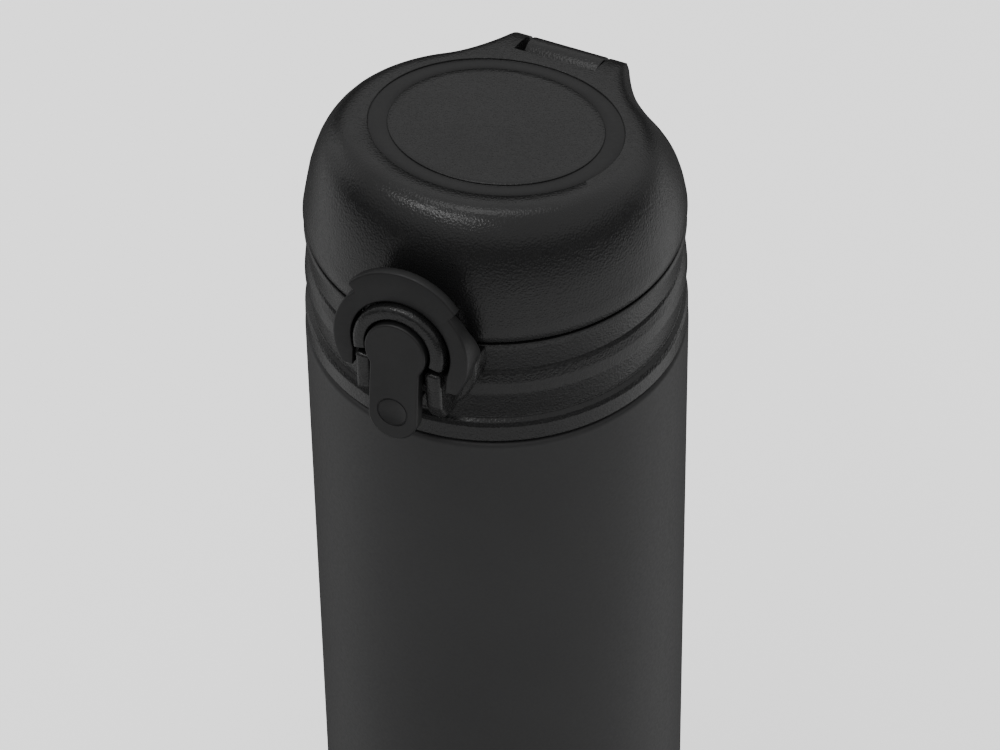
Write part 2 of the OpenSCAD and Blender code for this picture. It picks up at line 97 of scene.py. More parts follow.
def bake(piece, angle=40):
    # turns a piece's modifiers into its mesh
    graph = bpy.context.evaluated_depsgraph_get()
    mesh = bpy.data.meshes.new_from_object(piece.evaluated_get(graph))
    piece.modifiers.clear()
    piece.data = mesh
    shade(piece, angle)
    return piece


def loft(rings, closeEnds=False, capEnds=False):
    # rings of equally many points, joined by quads; the ends may meet or be capped
    points, faces = [p for ring in rings for p in ring], []
    count, size = len(rings), len(rings[0])
    for i in range(count if closeEnds else count - 1):
        for k in range(size):
            a, b = i * size + k, i * size + (k + 1) % size
            c, d = ((i + 1) % count) * size + k, ((i + 1) % count) * size + (k + 1) % size
            faces.append((a, b, d, c))
    if capEnds:
        faces.append(tuple(range(size))[::-1])
        faces.append(tuple((count - 1) * size + k for k in range(size)))
    return points, faces


def lathe(name, outline, material, steps=256):
    # outline is a closed loop of (radius, height)
    rings = []
    for i in range(steps):
        a = 2 * math.pi * i / steps
        rings.append([place(r * math.sin(a), -r * math.cos(a), h) for r, h in outline])
    points, faces = loft(rings, closeEnds=True)
    return meshPiece(name, points, faces, material, 35)


def prism(name, outline, depth, toWorld, material, edge=0.0, smooth=35, turns=4):
    # outline is extruded from 0 to depth; edge rounds both rims
    area = sum(p[0] * q[1] - q[0] * p[1] for p, q in zip(outline, outline[1:] + outline[:1]))
    outline = outline if area > 0 else outline[::-1]

    def inset(amount):
        loop, count = [], len(outline)
        for i in range(count):
            a, b, c = (Vector(outline[(i + k) % count]) for k in (-1, 0, 1))
            n1, n2 = (b - a).normalized(), (c - b).normalized()
            n1, n2 = Vector((n1.y, -n1.x)), Vector((n2.y, -n2.x))
            push = (n1 + n2).normalized()
            loop.append(b - push * amount / max(0.4, push.dot(n1)))
        return loop
    turns = turns if edge else 0
    levels = [(edge + 0.12, 0.0)] if edge else []  # a flat strip keeps the shading of the ends flat
    for i in range(turns + 1):
        t = math.pi / 2 * i / max(1, turns)
        levels.append((edge * (1 - math.sin(t)), edge * (1 - math.cos(t))))
    rows = [(ins, d) for ins, d in levels] + [(ins, depth - d) for ins, d in reversed(levels)]
    rings = [[toWorld(p.x, p.y, d) for p in inset(ins)] for ins, d in rows]
    points, faces = loft(rings, capEnds=True)
    return meshPiece(name, points, faces, material, smooth)


def carve(piece, cutter, angle=35):
    change = piece.modifiers.new("carve", "BOOLEAN")
    change.operation = "DIFFERENCE"
    change.solver = "MANIFOLD"
    change.object = cutter
    bake(piece, angle)
    bpy.data.objects.remove(cutter)
    return piece


def blendStep(t):
    t = max(0.0, min(1.0, t))
    return t * t * (3 - 2 * t)


# Materials. Each takes its grain from the piece's own coordinates, in metres.

def blankMaterial(name, colour, roughness, metallic=0.0, specular=0.5):
    material = bpy.data.materials.new(name)
    material.use_nodes = True
    nodes = material.node_tree.nodes
    shader = nodes["Principled BSDF"]
    shader.inputs["Base Color"].default_value = (*colour, 1)
    shader.inputs["Roughness"].default_value = roughness
    shader.inputs["Metallic"].default_value = metallic
    shader.inputs["Specular IOR Level"].default_value = specular
    where = nodes.new("ShaderNodeTexCoord")
    return material, nodes, material.node_tree.links, shader, where


def addTone(nodes, links, shader, where, scale, dark, light):
    # a slow change of colour from one tone to another, in place of the plain one
    spots = nodes.new("ShaderNodeTexNoise")
    spots.inputs["Scale"].default_value = scale
    spots.inputs["Detail"].default_value = 4
    ramp = nodes.new("ShaderNodeValToRGB")
    ramp.color_ramp.elements[0].position, ramp.color_ramp.elements[1].position = 0.35, 0.65
    ramp.color_ramp.elements[0].color = (*dark, 1)
    ramp.color_ramp.elements[1].color = (*light, 1)
    links.new(where.outputs["Object"], spots.inputs["Vector"])
    links.new(spots.outputs["Fac"], ramp.inputs["Fac"])
    links.new(ramp.outputs["Color"], shader.inputs["Base Color"])


def addSheenChange(nodes, links, shader, where, scale, low, high):
    # roughness that wanders a little over the surface
    spots = nodes.new("ShaderNodeTexNoise")
    spots.inputs["Scale"].default_value = scale
    spots.inputs["Detail"].default_value = 3
    spread = nodes.new("ShaderNodeMapRange")
    spread.inputs["From Min"].default_value = 0.3
    spread.inputs["From Max"].default_value = 0.7
    spread.inputs["To Min"].default_value = low
    spread.inputs["To Max"].default_value = high
    links.new(where.outputs["Object"], spots.inputs["Vector"])
    links.new(spots.outputs["Fac"], spread.inputs["Value"])
    links.new(spread.outputs["Result"], shader.inputs["Roughness"])


def addGrain(nodes, links, shader, where, layers):
    # layers are (kind, scale, strength, height in metres), from the coarsest to the finest
    last = None
    for kind, scale, strength, height in layers:
        if kind == "cells":
            grain = nodes.new("ShaderNodeTexVoronoi")
            grain.feature = "SMOOTH_F1"
            grain.inputs["Smoothness"].default_value = 0.6
            out = grain.outputs["Distance"]
        else:
            grain = nodes.new("ShaderNodeTexNoise")
            grain.inputs["Detail"].default_value = 3
            out = grain.outputs["Fac"]
        grain.inputs["Scale"].default_value = scale
        bump = nodes.new("ShaderNodeBump")
        bump.inputs["Strength"].default_value = strength
        bump.inputs["Distance"].default_value = height
        links.new(where.outputs["Object"], grain.inputs["Vector"])
        links.new(out, bump.inputs["Height"])
        if last:
            links.new(last.outputs["Normal"], bump.inputs["Normal"])
        last = bump
    links.new(last.outputs["Normal"], shader.inputs["Normal"])


def leatherGrainPlastic(name, strength):
    # black moulded plastic with a pebbled leather-like grain
    material, nodes, links, shader, where = blankMaterial(name, (0.008, 0.008, 0.0082), 0.42, 0.0, 0.28)
    addTone(nodes, links, shader, where, 60, (0.0065, 0.0065, 0.0067), (0.009, 0.009, 0.0092))
    addSheenChange(nodes, links, shader, where, 900, 0.23, 0.3)
    addGrain(nodes, links, shader, where, [
        ("noise", 1300, 0.2 * strength, 0.00008),
        ("cells", 2700, 1.0 * strength, 0.00008),
        ("noise", 5200, 0.5 * strength, 0.00004)])
    return material


def satinPlastic(name):
    # the lever's and ring's smooth satin black
    material, nodes, links, shader, where = blankMaterial(name, (0.007, 0.007, 0.0072), 0.4, 0.0, 0.26)
    addTone(nodes, links, shader, where, 90, (0.006, 0.006, 0.0062), (0.008, 0.008, 0.0082))
    addSheenChange(nodes, links, shader, where, 1400, 0.38, 0.46)
    addGrain(nodes, links, shader, where, [
        ("noise", 2400, 0.2, 0.00003), ("noise", 9000, 0.25, 0.00002)])
    return material


def coatedSteel(name):
    # satin powder coat on the steel body
    material, nodes, links, shader, where = blankMaterial(name, (0.0155, 0.0155, 0.0158), 0.48, 0.0, 0.25)
    addTone(nodes, links, shader, where, 25, (0.0145, 0.0145, 0.0148), (0.0165, 0.0165, 0.0168))
    addSheenChange(nodes, links, shader, where, 1800, 0.44, 0.52)
    addGrain(nodes, links, shader, where, [
        ("noise", 1500, 0.12, 0.00003), ("noise", 7000, 0.3, 0.00002)])
    return material


def brushedSteel(name, colour, brushScale=(40, 40, 9000), roughness=0.28):
    # bare steel, brushed round the flask
    material, nodes, links, shader, where = blankMaterial(name, colour, roughness, 1.0)
    stretch = nodes.new("ShaderNodeMapping")
    stretch.inputs["Scale"].default_value = brushScale
    lines = nodes.new("ShaderNodeTexNoise")
    lines.inputs["Scale"].default_value = 1
    lines.inputs["Detail"].default_value = 4
    spread = nodes.new("ShaderNodeMapRange")
    spread.inputs["To Min"].default_value = roughness - 0.08
    spread.inputs["To Max"].default_value = roughness + 0.12
    bump = nodes.new("ShaderNodeBump")
    bump.inputs["Strength"].default_value = 0.15
    bump.inputs["Distance"].default_value = 0.00002
    links.new(where.outputs["Object"], stretch.inputs["Vector"])
    links.new(stretch.outputs["Vector"], lines.inputs["Vector"])
    links.new(lines.outputs["Fac"], spread.inputs["Value"])
    links.new(spread.outputs["Result"], shader.inputs["Roughness"])
    links.new(lines.outputs["Fac"], bump.inputs["Height"])
    links.new(bump.outputs["Normal"], shader.inputs["Normal"])
    return material


def softRubber(name, dark, light, roughness, glow=0.0):
    # silicone or rubber, faintly dusty
    material, nodes, links, shader, where = blankMaterial(name, light, roughness)
    addTone(nodes, links, shader, where, 220, dark, light)
    addSheenChange(nodes, links, shader, where, 1200, roughness - 0.06, roughness + 0.08)
    addGrain(nodes, links, shader, where, [("noise", 3500, 0.2, 0.00003)])
    shader.inputs["Subsurface Weight"].default_value = glow
    shader.inputs["Subsurface Radius"].default_value = (0.002, 0.002, 0.002)
    return material


def innerPlastic(name):
    # the dark grey food-grade plastic inside the stopper unit and lid
    material, nodes, links, shader, where = blankMaterial(name, (0.05, 0.05, 0.052), 0.38)
    addTone(nodes, links, shader, where, 70, (0.046, 0.046, 0.048), (0.055, 0.055, 0.057))
    addSheenChange(nodes, links, shader, where, 1000, 0.33, 0.44)
    addGrain(nodes, links, shader, where, [("noise", 3000, 0.15, 0.00003)])
    return material


grainedPlastic = leatherGrainPlastic("grained plastic", 0.6)
smoothPlastic = satinPlastic("satin plastic")
bodyCoat = coatedSteel("powder-coated steel")
bareSteel = brushedSteel("bare steel", (0.62, 0.62, 0.63))
springSteel = brushedSteel("spring wire", (0.5, 0.5, 0.52), (9000, 9000, 9000), 0.3)
copperFoil = brushedSteel("copper foil", (0.72, 0.42, 0.26), (300, 300, 900), 0.22)
greyPlastic = innerPlastic("inner plastic")
greySilicone = softRubber("silicone", (0.27, 0.28, 0.29), (0.33, 0.34, 0.35), 0.45, 0.1)
blackRubber = softRubber("base rubber", (0.022, 0.022, 0.022), (0.035, 0.035, 0.035), 0.62)
print("materials made")

kept = {
    "outer_base": bodyCoat, "base_pad": blackRubber, "vacuum_seal": bareSteel,
    "inner_vessel": bareSteel, "reflective_foil": copperFoil, "getter": bareSteel,
    "mouth_gasket": greySilicone, "stopper_core": greyPlastic, "spout": greyPlastic,
    "spout_gasket": greySilicone, "hinge_pin": bareSteel, "hinge_spring": springSteel,
    "lever_pin": bareSteel, "lever_spring": springSteel, "lid_liner": greyPlastic,
    "lid_seal": greySilicone, "seal_holder": greyPlastic,
}
for nodeName, material in kept.items():
    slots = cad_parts[nodeName].data.materials
    slots.clear()
    slots.append(material)
print("CAD nodes dressed:", len(kept))


# The camera looks down at the flask from the right of its lever.

cameraPlace = {
    "side": 25.0, "turn": 0.032, "tilt": 44.26, "roll": -0.93, "away": 627.5, "height": 595.6,
    "lens": 183.96, "sensor": 36.0,
}


def addCamera(c):
    side, tilt, roll = (math.radians(c[k]) for k in ("side", "tilt", "roll"))
    eye = place(c["away"] * math.sin(side), -c["away"] * math.cos(side), c["height"])
    aim = side - math.radians(c["turn"])
    ahead = Vector((-math.sin(aim) * math.cos(tilt), math.cos(aim) * math.cos(tilt), -math.sin(tilt)))
    right = Vector((math.cos(aim), math.sin(aim), 0))
    up = right.cross(ahead)
    right, up = (right * math.cos(roll) + up * math.sin(roll),
                 up * math.cos(roll) - right * math.sin(roll))
    lens = bpy.data.cameras.new("camera")
    lens.lens, lens.sensor_width, lens.clip_start, lens.clip_end = c["lens"], c["sensor"], 0.05, 20
    camera = bpy.data.objects.new("camera", lens)
    bpy.context.collection.objects.link(camera)
    camera.matrix_world = Matrix.Translation(eye) @ Matrix((
        (right.x, up.x, -ahead.x, 0), (right.y, up.y, -ahead.y, 0),
        (right.z, up.z, -ahead.z, 0), (0, 0, 0, 1)))
    bpy.context.scene.camera = camera


addCamera(cameraPlace)


# Steel body: one pressed wall from the base edge over the shoulder to the neck.

steelBody = {
    "radius": 32.5, "wall": 0.6, "top": -0.3, "edge": 1.2, "footRound": 3.5,
    "neck": 22.0, "neckTop": 15.2, "threadStart": 3.0, "threadLead": 5.0, "threadTurns": 1.75,
    "threadCrest": 23.5, "threadFoot": 2.2, "threadTip": 1.0, "threadSink": 0.3,
}


def makeBody(b):
    foot = -shoulder / mm
    r, w, n = b["radius"], b["wall"], b["neck"]
    inner = r - w
    outline = roundOff([
        (r - b["footRound"], foot), (r, foot, b["footRound"]), (r, b["top"], b["edge"]),
        (n + 0.1, b["top"], 0.6), (n, b["neckTop"]), (n - w, b["neckTop"]),
        (n - w, b["top"] - w, 0.4), (inner, b["top"] - w, b["edge"]),
        (inner, foot + w, b["footRound"]), (r - b["footRound"], foot + w)], 8)
    return lathe("steelBody", outline, bodyCoat)


def makeThread(name, t, root, material):
    steps = int(t["threadTurns"] * 60)
    foot, tip = t["threadFoot"] / 2, t["threadTip"] / 2
    rings = []
    for i in range(steps + 1):
        a = 2 * math.pi * i / 60
        fade = blendStep(min(i, steps - i) / 6)  # the ridge runs out at both ends
        r = root + (t["threadCrest"] - root) * max(0.04, fade)
        h = t["threadStart"] + t["threadLead"] * i / 60
        section = roundOff([(root, -foot), (r, -tip, 0.3), (r, tip, 0.3), (root, foot)], 3)
        rings.append([place(q * math.cos(a), q * math.sin(a), h + dh) for q, dh in section])
    points, faces = loft(rings, capEnds=True)
    return meshPiece(name, points, faces, material)


body = makeBody(steelBody)
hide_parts("outer_shell")
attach(body, "flask")
neckThread = makeThread("neckThread", steelBody, steelBody["neck"] - steelBody["threadSink"], bodyCoat)
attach(neckThread, "flask")
print("steel body made")


# Collar: lower band, bulged grip, upper band, and the bowl, deck and thread bore inside.

collar = {
    "seam": 21.8, "bowl": 29.8, "deck": 18.4, "deckUnder": 16.6, "hole": 15.8, "bore": 24.0,
    "hollowIn": 26.0, "hollowOut": 30.0, "hollowTop": 15.0,
    "lowBand": [(32.0, 0, 0.3), (32.4, 0.5, 0.3), (32.35, 3.5, 0.6), (32.0, 4.3, 0.4)],
    "grip": [(31.3, 4.9, 0.5), (31.6, 7.0, 3), (32.15, 11.0, 3), (31.95, 13.2, 2), (31.5, 14.9, 1.2)],
    "highBand": [(31.05, 15.7, 0.2), (31.5, 16.0, 0.2), (31.95, 20.9, 0.6), (31.8, 21.8, 0.2)],
    "threadStart": 5.5, "threadLead": 5.0, "threadTurns": 1.5,
    "threadCrest": 22.5, "threadFoot": 2.2, "threadTip": 1.0, "threadSink": 0.3,
}


def makeCollar(c):
    outline = roundOff([
        (c["bore"], 0, 0.4), (c["hollowIn"], 0, 0.4), (c["hollowIn"], c["hollowTop"], 0.8),
        (c["hollowOut"], c["hollowTop"], 0.8), (c["hollowOut"], 0, 0.3),
        *c["lowBand"], *c["grip"], *c["highBand"], (c["bowl"], c["seam"], 0.35),
        (c["bowl"], c["deck"], 1.2), (c["hole"], c["deck"], 0.2),
        (c["hole"], c["deckUnder"], 0.2), (c["bore"], c["deckUnder"], 0.6)], 6)
    return lathe("collarRing", outline, grainedPlastic)


collarRing = makeCollar(collar)
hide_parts("collar")
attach(collarRing, "stopper")
collarThread = makeThread("collarThread", collar, collar["bore"] + collar["threadSink"], grainedPlastic)
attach(collarThread, "stopper")


# Parts at the front are drawn on a plane that leans back towards the flask.

lean = math.radians(6.9)


def frontPlane(planeY):
    def toWorld(x, s, out):
        # x to the right, s up the plane, out towards the front
        y = -planeY + s * math.sin(lean) - out * math.cos(lean)
        return place(x, y, s * math.cos(lean) + out * math.sin(lean))
    return toWorld


def sidePlane(x0):
    def toWorld(y, h, across):
        return place(x0 + across, y, h)
    return toWorld


housing = {
    "radius": 11.8, "height": 19.6, "back": 27.0, "face": 33.9, "high": 21.6,
    "padEdge": 0.5, "prongIn": 4.75, "prongOut": 7.6, "prongEdge": 0.8,
    "prongSide": [(-30, 20.9), (-30, 8.9), (-34.2, 8.7, 1.5), (-36.9, 10.0, 2.5), (-38.6, 13.2, 3),
                  (-38.75, 20.9, 0.8)],
}


def makeHousing(h):
    low = math.degrees(math.asin((h["high"] - h["height"]) / h["radius"]))
    outline = arc(0, h["height"], h["radius"], low, -180 - low, 72)
    return prism("leverHousing", outline[::-1], h["face"] - h["back"],
                 lambda x, s, d: place(x, -h["back"] - d, s), grainedPlastic, h["padEdge"])


def makeProng(h, side):
    # seen from the side: flat on top, rounded over the front, curving in to the pad below
    outline = roundOff(h["prongSide"], 8)
    start = h["prongIn"] if side > 0 else -h["prongOut"]
    return prism("prongRight" if side > 0 else "prongLeft", outline, h["prongOut"] - h["prongIn"],
                 sidePlane(start), grainedPlastic, h["prongEdge"])


housingPad = makeHousing(housing)
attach(housingPad, "stopper")
for side in (-1, 1):
    prong = makeProng(housing, side)
    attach(prong, "stopper")

hinge = {
    "y": 28.6, "height": 30.2, "knuckle": 4.2, "barrelWidth": 13.6,
    "notchWidth": 14.8, "notchRadius": 4.7, "notchLip": 24.4,
    "post": [(-3.4, -1.4, 1), (-3.4, -13.2), (2.4, -13.2), (2.9, -8.2, 2)], "edge": 0.35,
}


def makeBarrel(h):
    y, z, r = h["y"], h["height"], h["knuckle"]
    outline = arc(y, z, r, -20, 190, 40) + roundOff([(y + q[0], z + q[1], *q[2:]) for q in h["post"]])
    return prism("hingeBarrel", outline, h["barrelWidth"], sidePlane(-h["barrelWidth"] / 2),
                 grainedPlastic, h["edge"])


barrel = makeBarrel(hinge)
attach(barrel, "stopper")
print("collar made")


# Lid: a lofted dome whose flat top slants down towards the hinge, with two ears there.

lid = {
    "slant": 10.45, "slantFrom": 25, "slantOver": 11, "steps": 384, "top": 40.6,
    "earHalf": 10.1, "earBlend": 7.5, "earFade": 2.4, "earLow": 24,
    "earFoot": [(32.0, 24.0), (32.0, 25.0)], "earTop": [(29.9, 34.35), (28.6, 34.95), (26.6, 35.55)],
    "earEnd": 24.3,
    "rows": [(22.3, 31.5), (22.42, 31.75), (22.7, 31.9), (24, 32.0), (26, 31.65), (28, 31.25),
             (30, 30.8), (32, 30.15), (34, 29.4), (35.2, 28.85), (36.4, 28.25), (37.6, 27.5),
             (38.75, 26.6), (39.3, 26.05), (39.8, 25.45), (40.15, 24.85), (40.4, 24.2),
             (40.55, 23.5), (40.6, 22.8)],
    "recess": [(21.28, 0), (21.2, 0.06), (21.12, 0.3), (21.0, 0.36), (18.1, 0.36), (17.98, 0.3),
               (17.9, 0.06), (17.8, 0.0), (16.5, 0), (13, 0), (9, 0), (5, 0), (2, 0)],
    "recessShift": -0.96, "sunkenAcross": (17.9, 21.2), "sunkenHeight": (-0.4, -0.2),
    "inside": [(22.3, 30.0), (24, 30.0), (28, 29.3), (32, 28.2), (35, 27.0), (37.4, 25.2),
               (38.6, 23.0)],
    "hingeWall": 22.5, "hingeWallHalf": 9.0, "hingeWallEnd": 12,
    "windowLow": (-3.1, -35, 23.9), "windowHigh": (3.1, -26, 27.4),
}


def slantShare(h):
    return blendStep((h - lid["slantFrom"]) / lid["slantOver"])


def domePoint(r, h, a, forward=0.0):
    # a is the bearing from the front; the row's own slant grows towards the top
    t = math.radians(lid["slant"] * slantShare(h))
    back = -r * math.cos(a) - forward
    return Vector((r * math.sin(a), back * math.cos(t), h - back * math.sin(t)))


def earOutline():
    # the ears from the side: straight up, round the knuckle, and forward to the slanted top
    y, z, r = hinge["y"], hinge["height"], hinge["knuckle"]
    end = lid["earEnd"]
    last = (end, lid["top"] - end * math.tan(math.radians(lid["slant"])))
    return lid["earFoot"] + arc(y, z, r, -36, 58, 14) + lid["earTop"] + [last]


def alongLine(line, share):
    spans = [(Vector(q) - Vector(p)).length for p, q in zip(line, line[1:])]
    left = share * sum(spans)
    for (p, q), span in zip(zip(line, line[1:]), spans):
        if left <= span or q == line[-1]:
            k = min(1.0, left / span)
            return p[0] + (q[0] - p[0]) * k, p[1] + (q[1] - p[1]) * k
        left -= span


def makeDome(d):
    bearings = [2 * math.pi * i / d["steps"] for i in range(d["steps"])]
    raised = [i for i, (h, r) in enumerate(d["rows"]) if h >= d["earLow"]]
    line = earOutline()
    rings = []
    for h, r in d["inside"][::-1]:
        ring = []
        for a in bearings:
            p = domePoint(r, h, a)
            k = blendStep((d["hingeWallEnd"] - abs(p.x)) / (d["hingeWallEnd"] - d["hingeWallHalf"]))
            ring.append(place(p.x, p.y + (min(p.y, d["hingeWall"]) - p.y) * k, p.z))
        rings.append(ring)
    for i, (h, r) in enumerate(d["rows"]):
        ring = []
        for a in bearings:
            p = domePoint(r, h, a)
            if i in raised and p.y > 0:
                ey, ez = alongLine(line, (i - raised[0]) / (len(raised) - 1))
                k = (abs(p.x) - d["earHalf"]) / d["earBlend"]
                share = 1.0 if k <= 0 else (1 - min(1.0, k)) ** d["earFade"]
                p = Vector((p.x, p.y + (ey - p.y) * share, p.z + (ez - p.z) * share))
            ring.append(place(*p))
        rings.append(ring)
    for r, drop in d["recess"]:
        ring = [domePoint(r, d["top"], a, d["recessShift"]) for a in bearings]
        rings.append([place(p.x, p.y, p.z - drop) for p in ring])
    points, faces = loft(rings, capEnds=True)
    return meshPiece("lidCover", points, faces, grainedPlastic, 30)


def block(name, low, high):
    corners = [place(x, y, z) for x in (low[0], high[0]) for y in (low[1], high[1])
               for z in (low[2], high[2])]
    faces = [(0, 1, 3, 2), (4, 6, 7, 5), (0, 4, 5, 1), (2, 3, 7, 6), (0, 2, 6, 4), (1, 5, 7, 3)]
    return meshPiece(name, corners, faces, grainedPlastic, 30)


def polishRecess(piece, d):
    # the sunken ring round the top disc is smoother than the rest of the lid
    piece.data.materials.append(smoothPlastic)
    t = math.radians(d["slant"])
    middle = Vector((0, -d["recessShift"] * math.cos(t), d["top"] + d["recessShift"] * math.sin(t)))
    up = Vector((0, math.sin(t), math.cos(t)))
    for face in piece.data.polygons:
        offset = (face.center - origin) / mm - middle
        high = offset.dot(up)
        across = (offset - up * high).length
        (low, top), (near, far) = d["sunkenHeight"], d["sunkenAcross"]
        if low < high < top and near < across < far:
            face.material_index = 1


cover = makeDome(lid)
notchOutline = arc(hinge["y"], hinge["height"], hinge["notchRadius"], 154, 180, 8) + [
    (hinge["y"] - hinge["notchRadius"], 20), (45, 20), (45, 45), (hinge["notchLip"], 45)]
carve(cover, prism("notchCutter", notchOutline, hinge["notchWidth"],
                   sidePlane(-hinge["notchWidth"] / 2), grainedPlastic))
carve(cover, block("windowCutter", lid["windowLow"], lid["windowHigh"]))
polishRecess(cover, lid)
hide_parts("lid_cover")
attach(cover, "lid")

# The boss is the raised arc on the lid's front, which the ring closes round.

boss = {
    "plane": 41.5, "height": 24.2, "inner": 5.8, "outer": 8.15, "back": -9.5, "half": 104.0,
    "fillet": 1.9, "lip": 0.35,
}


def makeBoss(b):
    toWorld = frontPlane(b["plane"])
    section = roundOff([(b["inner"], b["back"]), (b["outer"], b["back"]), (b["outer"], 0, b["fillet"]),
                        (b["inner"], 0, b["lip"])], 7)
    rings = []
    steps = 72
    for i in range(steps + 1):
        a = math.radians(-b["half"] + 2 * b["half"] * i / steps)
        rings.append([toWorld(q * math.sin(a), b["height"] + q * math.cos(a), out)
                      for q, out in section])
    points, faces = loft(rings, capEnds=True)
    return meshPiece("lidBoss", points, faces, grainedPlastic, 35)


bossPiece = makeBoss(boss)
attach(bossPiece, "lid")
print("lid made")


# Lock ring: a C-shaped ring with a wider thumb tab on top and side walls that run back to its pivots.

ring = {
    "plane": 40.2, "height": 23.66, "inner": 8.8, "outer": 12.0,
    "tab": 14.6, "tabAngle": 44.0, "tabShift": 2.7,
    "foot": 6.2, "straight": 8.3, "edge": 0.35, "sweep": 126.5, "thin": 0.4, "shallow": 1.8,
    "sideBack": [(16.8, 35.5), (17.6, 34.5), (20.6, 34.2), (22.0, 34.1), (23.0, 31.95), (23.6, 31.95),
                 (28.8, 33.8), (33.4, 34.3), (42.0, 34.3)],
    "pivotY": -36.0, "pivotHeight": 18.8, "studRadius": 1.0, "studStart": 6.9, "studEnd": 9.3,
    "holeStart": 10.6, "holeEnd": 12.6, "holeRadius": 0.7,
}


def backAt(h):
    table = ring["sideBack"]
    for (h0, d0), (h1, d1) in zip(table, table[1:]):
        if h <= h1:
            return d0 + (d1 - d0) * max(0, h - h0) / (h1 - h0)
    return table[-1][1]


def makeRing(r):
    toWorld = frontPlane(r["plane"])
    angles = [r["sweep"] * (i / 64 - 1) for i in range(129)]
    angles += [s * (r["tabAngle"] + d) for s in (-1, 1) for d in (-0.5, 0.5)]
    angles += [s * (r["sweep"] - i) for s in (-1, 1) for i in range(1, 5)]
    rings = []
    for t in sorted(angles):
        a = math.radians(t)
        ux, us = math.sin(a), math.cos(a)
        inner, outer = r["inner"], r["outer"]
        if us < 0 and abs(inner * ux) < r["straight"] and abs(ux) > 0:
            inner = r["straight"] / abs(ux)
        if abs(t) < r["tabAngle"]:  # the tab's arc is flatter than the ring's
            shift = r["tabShift"]
            outer = shift * us + math.sqrt((r["tab"] - shift) ** 2 - (shift * ux) ** 2)
        if us < 0:
            outer = min(outer, -r["foot"] / us)
        outer = max(inner + r["thin"], outer)
        h = r["height"] + outer * us
        front = r["plane"] - h * math.sin(lean)
        depth = max(r["shallow"], front - backAt(h))
        e = r["edge"]
        section = roundOff([(inner, -depth, e), (outer, -depth, e), (outer, 0, e), (inner, 0, e)], 3)
        rings.append([toWorld(q * ux, r["height"] + q * us, out) for q, out in section])
    points, faces = loft(rings, capEnds=True)
    return meshPiece("lockRing", points, faces, smoothPlastic, 35)


def roundBar(name, x0, x1, y, h, r, material, edge=0.0):
    # a short bar across the flask
    return prism(name, arc(y, h, r, 0, 345, 23), x1 - x0, sidePlane(x0), material, edge)


lockRing = makeRing(ring)
for side in (-1, 1):
    low, high = sorted((side * ring["holeStart"], side * ring["holeEnd"]))
    carve(lockRing, roundBar("holeCutter", low, high, ring["pivotY"], ring["pivotHeight"],
                             ring["holeRadius"], smoothPlastic))
    low, high = sorted((side * ring["studStart"], side * ring["studEnd"]))
    stud = roundBar("pivotStudRight" if side > 0 else "pivotStudLeft", low, high, ring["pivotY"],
                    ring["pivotHeight"], ring["studRadius"], smoothPlastic, 0.15)
    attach(stud, "lock")
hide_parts("lock_ring")
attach(lockRing, "lock")


# Press lever: a keyhole plate with a round head, a stem and a shallow thumb dimple.

lever = {
    "plane": 42.3, "thick": 2.4, "head": 5.4, "headHeight": 24.3, "stem": 4.35, "stemHeight": 11.2,
    "waistRound": 1.6, "edge": 0.35, "dimpleHeight": 12.2, "dimpleRadius": 2.6,
    "dimpleBall": 9.75, "dimpleGroove": 0.17, "dimpleSharp": 13,
    "hook": [(-38.6, 24.4), (-38.6, 28.0), (-32.0, 26.2, 0.5), (-30.9, 25.2, 0.3), (-30.9, 24.4, 0.2)],
    "hookWidth": 5.0, "axisY": -36.3, "axisHeight": 15.5, "knuckle": 2.0, "knuckleWidth": 7.4,
    "knuckleBack": [(-38.6, 19.0), (-39.9, 19.0), (-40.4, 12.5), (-39.0, 12.5)],
}


def keyhole(k):
    waistX = k["stem"] + k["waistRound"]
    reach = k["head"] + k["waistRound"]
    waistY = k["headHeight"] - math.sqrt(reach ** 2 - waistX ** 2)
    balance = math.degrees(math.atan2(k["headHeight"] - waistY, -waistX))
    right = arc(waistX, waistY, k["waistRound"], 180, balance, 8)
    head = arc(0, k["headHeight"], k["head"], balance - 180, 360 - balance, 72)
    left = [(-x, y) for x, y in right[::-1]]
    foot = arc(0, k["stemHeight"], k["stem"], 180, 360, 48)
    return right + head[1:-1] + left + foot


def ball(name, middle, radius):
    sphere = bmesh.new()
    bmesh.ops.create_uvsphere(sphere, u_segments=96, v_segments=64, radius=radius * mm)
    bmesh.ops.translate(sphere, vec=middle, verts=sphere.verts)
    mesh = bpy.data.meshes.new(name)
    sphere.to_mesh(mesh)
    sphere.free()
    piece = bpy.data.objects.new(name, mesh)
    bpy.context.collection.objects.link(piece)
    piece.data.materials.append(smoothPlastic)
    return piece


def makeLever(k):
    toWorld = frontPlane(k["plane"])
    plate = prism("openLever", keyhole(k), k["thick"], lambda x, s, d: toWorld(x, s, d - k["thick"]),
                  smoothPlastic, k["edge"], 35, 8)
    hollow = math.sqrt(k["dimpleBall"] ** 2 - k["dimpleRadius"] ** 2)
    middle = toWorld(0, k["dimpleHeight"], hollow)
    carve(plate, ball("dimpleCutter", middle, k["dimpleBall"]), k["dimpleSharp"])
    rings = []  # a fine groove round the dimple
    for x, s in arc(0, 0, 1, 0, 355, 71):
        r = k["dimpleRadius"]
        rings.append([toWorld((r + q) * x, k["dimpleHeight"] + (r + q) * s, out)
                      for q, out in arc(0, 0, k["dimpleGroove"], 0, 315, 7)])
    points, faces = loft(rings, closeEnds=True)
    return carve(plate, meshPiece("grooveCutter", points, faces, smoothPlastic), k["dimpleSharp"])


def makeLeverHook(k):
    # catches in the lid's window; its upper side is a ramp
    return prism("leverHook", roundOff(k["hook"], 4), k["hookWidth"], sidePlane(-k["hookWidth"] / 2),
                 smoothPlastic, 0.2)


